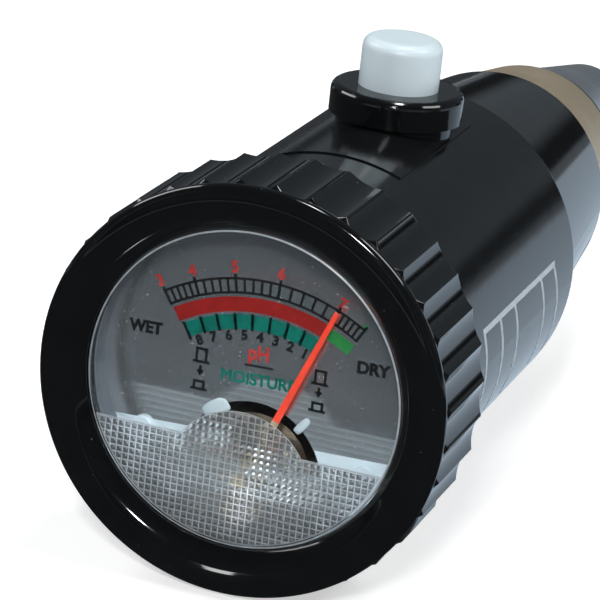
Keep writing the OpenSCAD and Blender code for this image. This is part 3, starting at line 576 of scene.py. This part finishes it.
def loft(name, rings, mat):
    """A closed solid from rings of equal count, each a list of points, with flat ends."""
    count = len(rings[0])
    verts = [point for ring in rings for point in ring]
    faces = [tuple(range(count)), tuple(range(len(verts) - 1, len(verts) - count - 1, -1))]
    for i in range(len(rings) - 1):
        for k in range(count):
            n = (k + 1) % count
            faces.append((i * count + k, i * count + n, (i + 1) * count + n, (i + 1) * count + k))
    return loose(name, verts, faces, mat)


def carve(obj, tool, operation):
    """Applies one boolean to the object and drops the tool."""
    step = obj.modifiers.new("carve", "BOOLEAN")
    step.operation, step.object, step.solver, step.material_mode = operation, tool, "EXACT", "TRANSFER"
    done = bpy.data.meshes.new_from_object(obj.evaluated_get(bpy.context.evaluated_depsgraph_get()))
    obj.modifiers.clear()
    spent = obj.data
    obj.data = done
    bpy.data.meshes.remove(spent)
    spent = tool.data
    bpy.data.objects.remove(tool)
    bpy.data.meshes.remove(spent)


def pits():
    """All the pits of the field, as separate square cups that reach out of the lens's front."""
    half = (GRID_PITCH - GRID_RIB) / 2
    floor = LENS_FRONT + GRID_SUNK
    columns = int(GRID_EDGE_R / GRID_PITCH) + 1
    rows = int((GRID_EDGE_R + BUMP_UP + BUMP_R) / GRID_PITCH) + 2
    verts, faces = [], []
    for i in range(-columns, columns + 1):
        for k in range(rows):
            x, up = i * GRID_PITCH, -GRID_EDGE_R + (k + 0.5) * GRID_PITCH
            if math.hypot(x, up) > GRID_EDGE_R + half:
                continue
            if up > GRID_TOP + half and math.hypot(x - BUMP_X, up - BUMP_UP) > BUMP_R + half:
                continue
            first = len(verts)
            for size, s in ((half, LENS_FRONT - PIT_ABOVE), (half, floor), (PIT_FLOOR, floor + GRID_DEEP)):
                verts += [(x - size, up - size, s), (x + size, up - size, s), (x + size, up + size, s),
                          (x - size, up + size, s)]
            faces.append(tuple(first + n for n in range(4)))
            faces.append(tuple(first + 8 + n for n in (3, 2, 1, 0)))
            for level in (first, first + 4):
                for n in range(4):
                    m = (n + 1) % 4
                    faces.append((level + n, level + m, level + 4 + m, level + 4 + n))
    return loose("pits", verts, faces, pit_mat)


def lens():
    around = [2 * math.pi * i / LENS_STEPS for i in range(LENS_STEPS)]
    rings = [[(r * math.sin(a), r * math.cos(a), s) for a in around] for r, s in LENS_PROFILE]
    obj = loft("lens_disc", rings, clear_mat)
    obj.data.materials.append(edge_mat.mat)
    for face in obj.data.polygons:
        if LENS_FRONT + GROUND_MARGIN < face.center.z < LENS_FRONT + GROUND_DEEP - GROUND_MARGIN:
            face.material_index = 1
    slope = [(FIELD_GROW, LENS_FRONT - FIELD_ABOVE), (FIELD_GROW, LENS_FRONT), (0.0, LENS_FRONT + GRID_SUNK)]
    field = [[(*point, s) for point in grid_outline(grow)] for grow, s in slope]
    carve(obj, loft("field", field, rib_mat), "DIFFERENCE")
    cups = pits()
    outline = grid_outline(-PIT_GAP)
    inside = [[(*point, s) for point in outline] for s in (LENS_FRONT - PIT_CUT_ABOVE, LENS_BACK)]
    carve(cups, loft("inside", inside, pit_mat), "INTERSECT")
    carve(obj, cups, "DIFFERENCE")
    mesh = obj.data
    for v in mesh.vertices:
        v.co = at(v.co.x, v.co.z, v.co.y)
    mesh.flip_normals()
    shade_smooth(mesh, LENS_SHARP)
    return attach(obj, "lens_pack")


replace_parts(lens(), "lens")


# Printed marks on the dial

DIAL_S = 8.4
PRINT_FRONT = DIAL_S - 0.02
PRINT_BACK = DIAL_S + 0.01
PRINT_X = -0.09
PRINT_UP = -0.11
PRINT_TILT = -1.7
HUB = (PRINT_X, -PIVOT_DROP + PRINT_UP)
ARC_STEP = 1.2
FONT_DEPTH = 0.5
FONT_STEPS = 4


def from_hub(r, turn):
    t = math.radians(turn)
    return HUB[0] + r * math.sin(t), HUB[1] + r * math.cos(t)


def on_dial(x, up):
    return x + PRINT_X, up + PRINT_UP


class Print:
    """Thin printed marks of one colour, collected as closed prisms."""

    def __init__(self):
        self.verts = []
        self.faces = []

    def prism(self, points):
        n, first = len(points), len(self.verts)
        for s in (PRINT_FRONT, PRINT_BACK):
            self.verts += [at(x, s, up) for x, up in points]
        self.faces.append(tuple(range(first, first + n)))
        self.faces.append(tuple(range(first + 2 * n - 1, first + n - 1, -1)))
        for i in range(n):
            j = (i + 1) % n
            self.faces.append((first + i, first + n + i, first + n + j, first + j))

    def band(self, inner, outer, start, end):
        turns = steps_between(start, end, max(2, int(abs(end - start) / ARC_STEP)))
        self.prism([from_hub(outer, t) for t in turns] + [from_hub(inner, t) for t in reversed(turns)])

    def bar(self, x0, up0, x1, up1, width):
        run = Vector((x1 - x0, up1 - up0)).normalized()
        side = Vector((run.y, -run.x)) * width / 2
        self.prism([(x0 + side.x, up0 + side.y), (x1 + side.x, up1 + side.y),
                    (x1 - side.x, up1 - side.y), (x0 - side.x, up0 - side.y)])

    def tick(self, inner, outer, turn, width):
        self.bar(*from_hub(inner, turn), *from_hub(outer, turn), width)

    def text(self, words, x, up, height, turn=0.0, wide=1.0, bold=0.0):
        curve = bpy.data.curves.new("words", "FONT")
        curve.body = words
        curve.align_x = "CENTER"
        curve.bevel_depth = bold
        curve.bevel_resolution = 0
        curve.extrude = FONT_DEPTH
        curve.resolution_u = FONT_STEPS
        holder = add_object("words", curve)
        mesh = bpy.data.meshes.new_from_object(holder.evaluated_get(bpy.context.evaluated_depsgraph_get()))
        low = min(v.co.y for v in mesh.vertices)
        high = max(v.co.y for v in mesh.vertices)
        left = min(v.co.x for v in mesh.vertices)
        right = max(v.co.x for v in mesh.vertices)
        k = height / (high - low)
        t = math.radians(turn)
        first = len(self.verts)
        for v in mesh.vertices:
            across = (v.co.x - (left + right) / 2) * k * wide
            rise = (v.co.y - (low + high) / 2) * k
            s = PRINT_FRONT if v.co.z > 0 else PRINT_BACK
            self.verts.append(at(x + across * math.cos(t) + rise * math.sin(t), s,
                                 up - across * math.sin(t) + rise * math.cos(t)))
        self.faces += [tuple(first + i for i in face.vertices) for face in mesh.polygons]
        bpy.data.objects.remove(holder)
        bpy.data.curves.remove(curve)
        bpy.data.meshes.remove(mesh)

    def arc_text(self, words, r, turn, height, bold):
        self.text(words, *from_hub(r, turn), height, turn, bold=bold)

    def done(self, name, mat, slot):
        return piece(name, self.verts, self.faces, mat, "case")


black, red, bright, teal, green, white = Print(), Print(), Print(), Print(), Print(), Print()

# The pH scale: its numbers with their angles, its two lines, and four short ticks between numbers
MARKS = [("3", -32.45), ("4", -22.58), ("5", -10.13), ("6", 3.23), ("7", 21.69), ("8", 30.67)]
SCALE_OUT = 23.75
SCALE_IN = 22.05
SCALE_OVER = 0.3
LINE_W = 0.3
TICK_W = 0.34
TICK_BELOW, TICK_ABOVE = 0.1, 0.55
SHARES = 5
NUMBER_R, SEVEN_R, EIGHT_R = 25.15, 24.75, 24.0
NUMBER_H, EIGHT_H = 1.5, 0.95
NUMBER_BOLD, EIGHT_BOLD = 0.035, 0.02
EIGHT_SHIFT = -0.3
for r in (SCALE_OUT, SCALE_IN):
    black.band(r - LINE_W / 2, r + LINE_W / 2, MARKS[0][1] - SCALE_OVER, MARKS[-1][1] + SCALE_OVER)
for (label, turn), after in zip(MARKS, MARKS[1:] + [None]):
    black.tick(SCALE_IN - TICK_BELOW, SCALE_OUT + TICK_ABOVE, turn, TICK_W)
    if after:
        for share in range(1, SHARES):
            black.tick(SCALE_IN, SCALE_OUT, turn + (after[1] - turn) * share / SHARES, LINE_W)
    if label == "8":
        green.arc_text(label, EIGHT_R, turn + EIGHT_SHIFT, EIGHT_H, EIGHT_BOLD)
    else:
        bright.arc_text(label, SEVEN_R if label == "7" else NUMBER_R, turn, NUMBER_H, NUMBER_BOLD)

# Colour bands, as inner and outer radius, first and last angle
RED_BAND = (19.75, 21.55, -32.2, 21.7)
GREEN_BAND = (19.9, 21.42, 22.6, 31.3)
red.band(*RED_BAND)
green.band(*GREEN_BAND)

# The moisture scale: a teal band with ticks, and a number between each two ticks
TEAL_TICKS = [-31.1, -24.4, -18.2, -11.4, -4.8, 1.9, 8.4, 14.8, 21.2]
TEAL_IN, TEAL_OUT = 17.6, 19.4
TEAL_TICK_IN, TEAL_FIRST_IN, TEAL_TICK_OUT = 17.45, 17.2, 19.55
DIGIT_R = 16.9
DIGIT_H = 1.32
DIGIT_BOLD = 0.045
teal.band(TEAL_IN, TEAL_OUT, TEAL_TICKS[0], TEAL_TICKS[-1])
for turn in TEAL_TICKS:
    black.tick(TEAL_FIRST_IN if turn == TEAL_TICKS[0] else TEAL_TICK_IN, TEAL_TICK_OUT, turn, TICK_W)
for digit, (a, b) in zip("87654321", zip(TEAL_TICKS, TEAL_TICKS[1:])):
    black.arc_text(digit, DIGIT_R, (a + b) / 2, DIGIT_H, DIGIT_BOLD)

# Words, each with its middle, height, share of the font's width, and boldness
WORDS = [
    (black, "WET", (-14.7, 3.15), 1.58, 0.95, 0.05),
    (black, "DRY", (13.8, 3.95), 1.58, 1.0, 0.05),
    (bright, "pH", (-0.35, 2.55), 2.5, 0.85, 0.025),
    (teal, "MOISTURE", (-0.1, -0.45), 1.55, 0.98, 0.03),
]
UNDERLINE_FROM, UNDERLINE_TO = (-1.95, 1.18), (1.6, 1.3)
UNDERLINE_W = 0.26
for marks, words, middle, height, wide, bold in WORDS:
    marks.text(words, *on_dial(*middle), height, PRINT_TILT, wide, bold)
black.bar(*on_dial(*UNDERLINE_FROM), *on_dial(*UNDERLINE_TO), UNDERLINE_W)

# Signs for the button, each with its x and the heights of the raised button, the arrow and the pressed button
SIGNS = [(-7.4, 0.3, -1.45, -3.1), (7.45, 0.75, -0.95, -2.6)]
SIGN_LINE = 0.33
SIGN_HALF = 0.6
SIGN_BASE_HALF = 1.05
RAISED_H = 1.6
PRESSED_H = 0.95
ARROW_H = 1.3
ARROW_HEAD_HALF, ARROW_HEAD_H = 0.5, 0.75
ARROW_SHAFT_FROM = 0.4


def button_sign(x, base, tall):
    """A small box on a line, for a raised or pressed button."""
    left, right, top = x - SIGN_HALF, x + SIGN_HALF, base + tall
    black.bar(x - SIGN_BASE_HALF, base, x + SIGN_BASE_HALF, base, SIGN_LINE)
    black.bar(left, base, left, top + SIGN_LINE / 2, SIGN_LINE)
    black.bar(right, base, right, top + SIGN_LINE / 2, SIGN_LINE)
    black.bar(left, top, right, top, SIGN_LINE)


def arrow_sign(x, tip):
    black.bar(x, tip + ARROW_SHAFT_FROM, x, tip + ARROW_H, SIGN_LINE)
    head = tip + ARROW_HEAD_H
    black.prism([(x, tip), (x - ARROW_HEAD_HALF, head), (x + ARROW_HEAD_HALF, head)])


for x, raised_up, arrow_up, pressed_up in SIGNS:
    button_sign(*on_dial(x, raised_up), RAISED_H)
    arrow_sign(*on_dial(x, arrow_up))
    button_sign(*on_dial(x, pressed_up), PRESSED_H)

# White lower lobes of the dial, beside the cut-out
LOBE_IN_R = 8.8
LOBE_IN_STEPS = 8
LOBE_TOP_X = 7.5
DIAL_EDGE_R = 19.9
DIAL_EDGE_STEPS = 16
WHITE_UP = -7.75
WHITE_SLOPE = 0.032


def lobe(side):
    def up_at(x):
        return WHITE_UP + WHITE_SLOPE * x + PRINT_UP

    outer_x = math.sqrt(DIAL_EDGE_R ** 2 - WHITE_UP ** 2)
    outer_up = up_at(side * outer_x)
    start = math.degrees(math.atan2(outer_x, outer_up))
    low = math.degrees(math.atan2(LOBE_IN_R, -math.sqrt(DIAL_EDGE_R ** 2 - LOBE_IN_R ** 2)))
    top = math.degrees(math.acos((up_at(side * LOBE_TOP_X) + PIVOT_DROP) / LOBE_IN_R))
    rim = on_circle(0, 0, DIAL_EDGE_R, start, low, DIAL_EDGE_STEPS)
    inner = on_circle(0, -PIVOT_DROP, LOBE_IN_R, 90, top, LOBE_IN_STEPS)
    return [(side * x, up) for x, up in [(outer_x, outer_up)] + rim + inner]


white.prism(lobe(-1))
white.prism(lobe(1))
black.done("dial_print_black", black_ink, "matte_black")
red.done("dial_print_red", red_ink, "red_paint")
bright.done("dial_print_bright_red", bright_red_ink, "red_paint")
teal.done("dial_print_teal", teal_ink, "board_green")
green.done("dial_print_green", green_ink, "board_green")
white.done("dial_print_white", white_ink, "white_plastic")


# Melted white stakes at the cut-out's edge, which hold the dial: angle from the top of the cut-out, distance
# from its centre, half sizes outwards and sideways

STAKES = [(-36.0, 8.5, 1.0, 1.7), (39.6, 9.1, 1.2, 0.5)]
STAKE_BACK = DIAL_S + 0.01
STAKE_RINGS = [(1.0, 0.0), (1.0, 0.1), (0.95, 0.18), (0.82, 0.25), (0.5, 0.3), (0.2, 0.31)]
STAKE_STEPS = 32
STAKE_SQUARE = 0.55
STAKE_SHARP = 60


def stake(verts, faces, turn, r, along, across):
    """A low dome with a squarish, slightly uneven outline."""
    t = math.radians(turn)
    first, count = len(verts), STAKE_STEPS
    for share, rise in STAKE_RINGS:
        for i in range(count):
            a = 2 * math.pi * i / count
            ca, sa = (math.copysign(abs(v) ** STAKE_SQUARE, v) for v in (math.cos(a), math.sin(a)))
            out = r + along * share * ca * (1 + 0.06 * math.sin(3 * a + turn))
            side = across * share * sa * (1 + 0.08 * math.cos(2 * a + turn))
            verts.append(at(out * math.sin(t) + side * math.cos(t), STAKE_BACK - rise,
                            -PIVOT_DROP + out * math.cos(t) - side * math.sin(t)))
    for ring in range(len(STAKE_RINGS) - 1):
        for i in range(count):
            a, b = first + ring * count + i, first + ring * count + (i + 1) % count
            faces.append((a, b, b + count, a + count))
    last = first + (len(STAKE_RINGS) - 1) * count
    faces.append(tuple(range(first + count - 1, first - 1, -1)))
    faces.append(tuple(range(last, last + count)))


stake_verts, stake_faces = [], []
for values in STAKES:
    stake(stake_verts, stake_faces, *values)
piece("dial_stakes", stake_verts, stake_faces, stake_mat, "case", STAKE_SHARP)


# Printed lines on the barrel's right side: one along the barrel, and five that run down from it

BARREL_R = 21.8
BARREL_DRAFT = 0.1
THREAD_END = 14.6
BAND_S = 60.2
LABEL_PROUD = 0.02
LABEL_SUNK = 0.03
LABEL_TURN = 78.0
LABEL_EDGE = 1.0
LABEL_EDGE_STEPS = 3
LABEL_LOW = 116.0
LABEL_RULES = [27.2, 34.0, 40.5, 52.5, 58.8]
LABEL_RULE_STEPS = 30
LABEL_SHARP = 60
FRONT_SLANT = 0.12
REAR_SLANT = 0.18
RULE_W = 0.75


def barrel_r(s):
    return BARREL_R - BARREL_DRAFT * min(1.0, (s - THREAD_END) / (BAND_S - THREAD_END))


def curved_strip(verts, faces, turn0, turn1, s0, s1, steps, slant=0.0):
    """A thin strip round the barrel. The slant moves it along the barrel, in millimetres a degree."""
    first = len(verts)
    for turn in steps_between(turn0, turn1, steps):
        lean = slant * (turn - turn0)
        for s, lift in ((s0, LABEL_PROUD), (s1, LABEL_PROUD), (s1, -LABEL_SUNK), (s0, -LABEL_SUNK)):
            verts.append(polar(barrel_r(s + lean) + lift, s + lean, turn))
    for i in range(steps):
        a = first + 4 * i
        for k in range(4):
            n = (k + 1) % 4
            faces.append((a + k, a + n, a + 4 + n, a + 4 + k))
    end = first + 4 * steps
    faces.append((first, first + 3, first + 2, first + 1))
    faces.append((end, end + 1, end + 2, end + 3))


label_verts, label_faces = [], []
first_rule, last_rule = LABEL_RULES[0], LABEL_RULES[-1]
curved_strip(label_verts, label_faces, LABEL_TURN - LABEL_EDGE, LABEL_TURN + LABEL_EDGE,
             first_rule - RULE_W / 2, last_rule + RULE_W / 2, LABEL_EDGE_STEPS)
for rule in LABEL_RULES:
    back_share = (rule - first_rule) / (last_rule - first_rule)
    curved_strip(label_verts, label_faces, LABEL_TURN + LABEL_EDGE, LABEL_LOW, rule - RULE_W / 2,
                 rule + RULE_W / 2, LABEL_RULE_STEPS, FRONT_SLANT + (REAR_SLANT - FRONT_SLANT) * back_share)
piece("label_lines", label_verts, label_faces, label_ink, "case", LABEL_SHARP)


# The button's spring

def press_spring():
    """The button's spring stands on its seat, as a copy of its mesh that rides with the case."""
    obj = add_object("press_spring", NODES["button_spring"].data.copy())
    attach(obj, "case")
    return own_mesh(obj)


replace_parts(press_spring(), "button_spring")


# Stage, in metres: pale floor, sky, lamps, cards and camera

def stage_mesh(name, verts, faces, mat):
    obj = add_object(name, new_mesh(name, verts, faces, mat))
    return obj


FLOOR_HALF = 6.0
FLOOR_LEVEL = -0.0001
FLOOR_TONE = (0.82, 0.82, 0.82, 1.0)
FLOOR_GLOW = 0.55


def floor_finish():
    """A pale floor that looks lit where it is seen, mirrored or seen through the lens, and lights nothing."""
    m = Nodes("pale_floor")
    m.set(Base_Color=FLOOR_TONE, Roughness=0.9, Specular_IOR_Level=0.1, Emission_Color=(1.0, 1.0, 1.0, 1.0))
    rays = m.add("LightPath")
    seen = m.add("Math", operation="MAXIMUM")
    m.link(rays.outputs["Is Camera Ray"], seen.inputs[0])
    m.link(rays.outputs["Is Glossy Ray"], seen.inputs[1])
    shown = m.add("Math", operation="MAXIMUM")
    m.link(seen.outputs[0], shown.inputs[0])
    m.link(rays.outputs["Is Transmission Ray"], shown.inputs[1])
    glow = m.add("Math", operation="MULTIPLY")
    m.link(shown.outputs[0], glow.inputs[0])
    glow.inputs[1].default_value = FLOOR_GLOW
    m.link(glow.outputs[0], m.bsdf.inputs["Emission Strength"])
    return m


floor_corners = [(-FLOOR_HALF, -FLOOR_HALF, FLOOR_LEVEL), (FLOOR_HALF, -FLOOR_HALF, FLOOR_LEVEL),
                 (FLOOR_HALF, FLOOR_HALF, FLOOR_LEVEL), (-FLOOR_HALF, FLOOR_HALF, FLOOR_LEVEL)]
stage_mesh("floor", floor_corners, [(0, 1, 2, 3)], floor_finish())

# The sky's level by height, from the horizon up, and its strength from the front to the back
SKY = [(0.0, 0.2), (0.03, 0.2), (0.045, 0.012), (0.11, 0.012), (0.155, 0.17), (0.3, 0.13), (0.5, 0.12),
       (1.0, 0.12)]
SKY_TINT = (0.86, 1.0, 1.12)
SKY_FRONT_TO_BACK = (("From Min", -0.3), ("From Max", 0.3), ("To Min", 0.35), ("To Max", 1.0))


def studio_sky():
    world = bpy.data.worlds.new("studio")
    scene.world = world
    world.use_nodes = True
    nodes, links = world.node_tree.nodes, world.node_tree.links
    backdrop = nodes["Background"]
    split = nodes.new("ShaderNodeSeparateXYZ")
    links.new(nodes.new("ShaderNodeTexCoord").outputs["Generated"], split.inputs[0])
    ramp = nodes.new("ShaderNodeValToRGB")
    links.new(split.outputs["Z"], ramp.inputs["Fac"])
    stops = ramp.color_ramp.elements
    stops[0].position, stops[1].position = SKY[0][0], SKY[-1][0]
    for height, _ in SKY[1:-1]:
        stops.new(height)
    for stop, (_, level) in zip(stops, SKY):
        stop.color = (*(level * share for share in SKY_TINT), 1)
    depth = nodes.new("ShaderNodeMapRange")
    links.new(split.outputs["Y"], depth.inputs["Value"])
    for key, number in SKY_FRONT_TO_BACK:
        depth.inputs[key].default_value = number
    links.new(ramp.outputs["Color"], backdrop.inputs["Color"])
    links.new(depth.outputs["Result"], backdrop.inputs["Strength"])


studio_sky()


def lamp(name, place, aim, size, power):
    data = bpy.data.lights.new(name, "AREA")
    data.shape = "RECTANGLE"
    data.size, data.size_y = size
    data.energy = power
    obj = add_object(name, data)
    obj.location = place
    obj.rotation_euler = (Vector(aim) - Vector(place)).to_track_quat("-Z", "Y").to_euler()
    return obj


lamp("right_softbox", (0.36, 0.02, 0.50), aim=(0, -0.02, 0.03), size=(0.24, 0.24), power=1.3)
lamp("left_softbox", (-0.48, -0.02, 0.42), aim=(0, -0.02, 0.03), size=(0.26, 0.26), power=1.3)
lamp("top_lamp", (0.04, -0.06, 0.60), aim=(0, -0.03, 0.03), size=(0.09, 0.09), power=0.9)
lamp("front_lamp", (0.10, -0.46, 0.26), aim=(0, -0.07, 0.03), size=(0.05, 0.05), power=1.1)
glint = lamp("grid_glint", at(-5.4, -17.7, -23.8), aim=at(1.14, 1.9, -15.4), size=(0.0025, 0.006), power=0.0006)
glint.visible_camera = False

CARD_LEVEL = 0.0004
CARD_DARK = (0.045, 0.05, 0.055)
CARD_GREY = (0.60, 0.73, 0.86)
# The line where the two cards meet, from the right side round to the back
MEET = [(1.5, 0.06), (0.12, 0.06), (0.11, -0.05), (0.0, -0.05), (0.01, 0.12), (-0.05, 1.6), (-0.1, 3.0)]


def card(name, corners, glow):
    """A card that lies on the floor and is seen only in reflections."""
    m = Nodes(name)
    m.set(Base_Color=(0.0, 0.0, 0.0, 1.0), Roughness=1.0, Specular_IOR_Level=0.0,
          Emission_Color=(*glow, 1.0), Emission_Strength=1.0)
    obj = stage_mesh(name, [(x, y, CARD_LEVEL) for x, y in corners], [tuple(range(len(corners)))], m)
    obj.visible_camera = obj.visible_diffuse = obj.visible_shadow = False


card("dark_card", [(-1.5, 3.0), (-1.5, -1.5), (1.5, -1.5)] + MEET, CARD_DARK)
card("grey_card", MEET[::-1] + [(1.5, 3.0)], CARD_GREY)

# The camera's angles in degrees and its distance in millimetres from the middle of the bezel's front, which
# it sees at pixel (px, py). The focal length is in pixels of a picture of this size.
CAMERA = dict(az=17.575, el=18.537, roll=6.392, dist=389.579, px=236.083, py=396.398, focal=3386.727,
              size=600.0)
SENSOR = 36.0
NEAR_CLIP = 0.01


def camera():
    az, el, roll = (math.radians(CAMERA[k]) for k in ("az", "el", "roll"))
    behind = Vector((math.sin(az) * math.cos(el), -math.cos(az) * math.cos(el), math.sin(el)))
    level = Vector((math.cos(az), math.sin(az), 0))
    rise = behind.cross(level)
    right = math.cos(roll) * level + math.sin(roll) * rise
    top = -math.sin(roll) * level + math.cos(roll) * rise
    half = CAMERA["size"] / 2
    seen = Vector(((CAMERA["px"] - half) / CAMERA["focal"], -(CAMERA["py"] - half) / CAMERA["focal"], -1))
    seen *= CAMERA["dist"]
    spot = -(right * seen.x + top * seen.y + behind * seen.z)
    data = bpy.data.cameras.new("photo_camera")
    data.sensor_width = SENSOR
    data.lens = CAMERA["focal"] / CAMERA["size"] * SENSOR
    data.clip_start = NEAR_CLIP
    obj = add_object("photo_camera", data)
    turn = Matrix((right, top, behind)).transposed().to_4x4()
    obj.matrix_world = Matrix.Translation(at(*spot)) @ turn
    scene.camera = obj


camera()
scene.view_settings.view_transform = "Standard"
